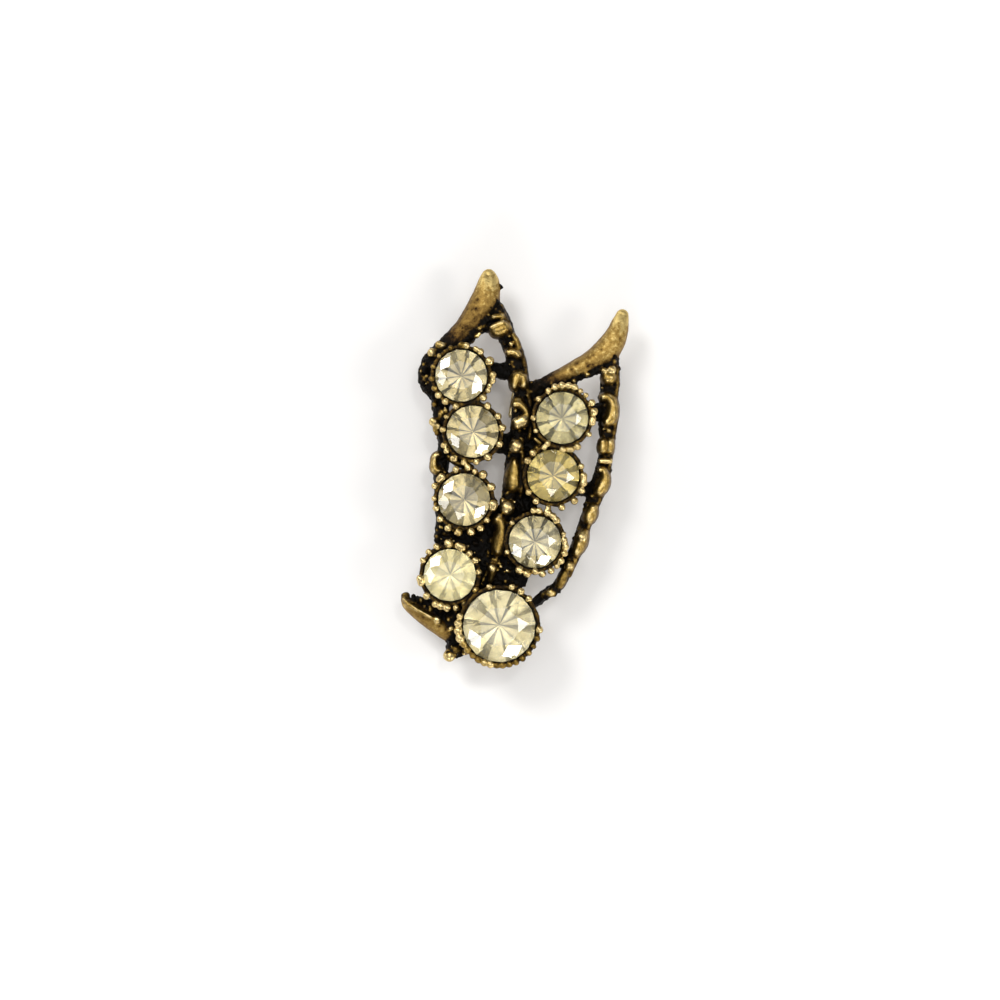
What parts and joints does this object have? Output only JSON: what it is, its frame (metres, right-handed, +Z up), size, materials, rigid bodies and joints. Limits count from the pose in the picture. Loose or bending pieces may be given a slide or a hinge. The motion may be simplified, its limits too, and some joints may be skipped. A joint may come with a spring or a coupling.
{
  "type": "lingerie pin brooch",
  "caption": "Small antique-gold cast brooch: two openwork wings with horn tips, round foiled stones in beaded cups, and a plain pin back.",
  "frame": {"origin": "under the middle of the whole brooch's box, on the surface it rests on", "axes": "+Z up, out of the face of the brooch; +Y along its length, towards the horn tips; +X across both wings, from the taller left wing to the right one"},
  "size_m": [0.0206, 0.036, 0.0083],
  "materials": {
    "antique_gold": "antiqued satin, dark in the recesses",
    "foiled_glass": "polished, foiled on the back",
    "pin_metal": "plated, satin"
  },
  "bodies": {
    "root": {"casting": "antique_gold", "pin_back": "pin_metal", "stone_1": "foiled_glass", "stone_2": "foiled_glass", "stone_3": "foiled_glass", "stone_4": "foiled_glass", "stone_5": "foiled_glass", "stone_6": "foiled_glass", "stone_7": "foiled_glass", "large_stone": "foiled_glass"}
  },
  "joints": []
}
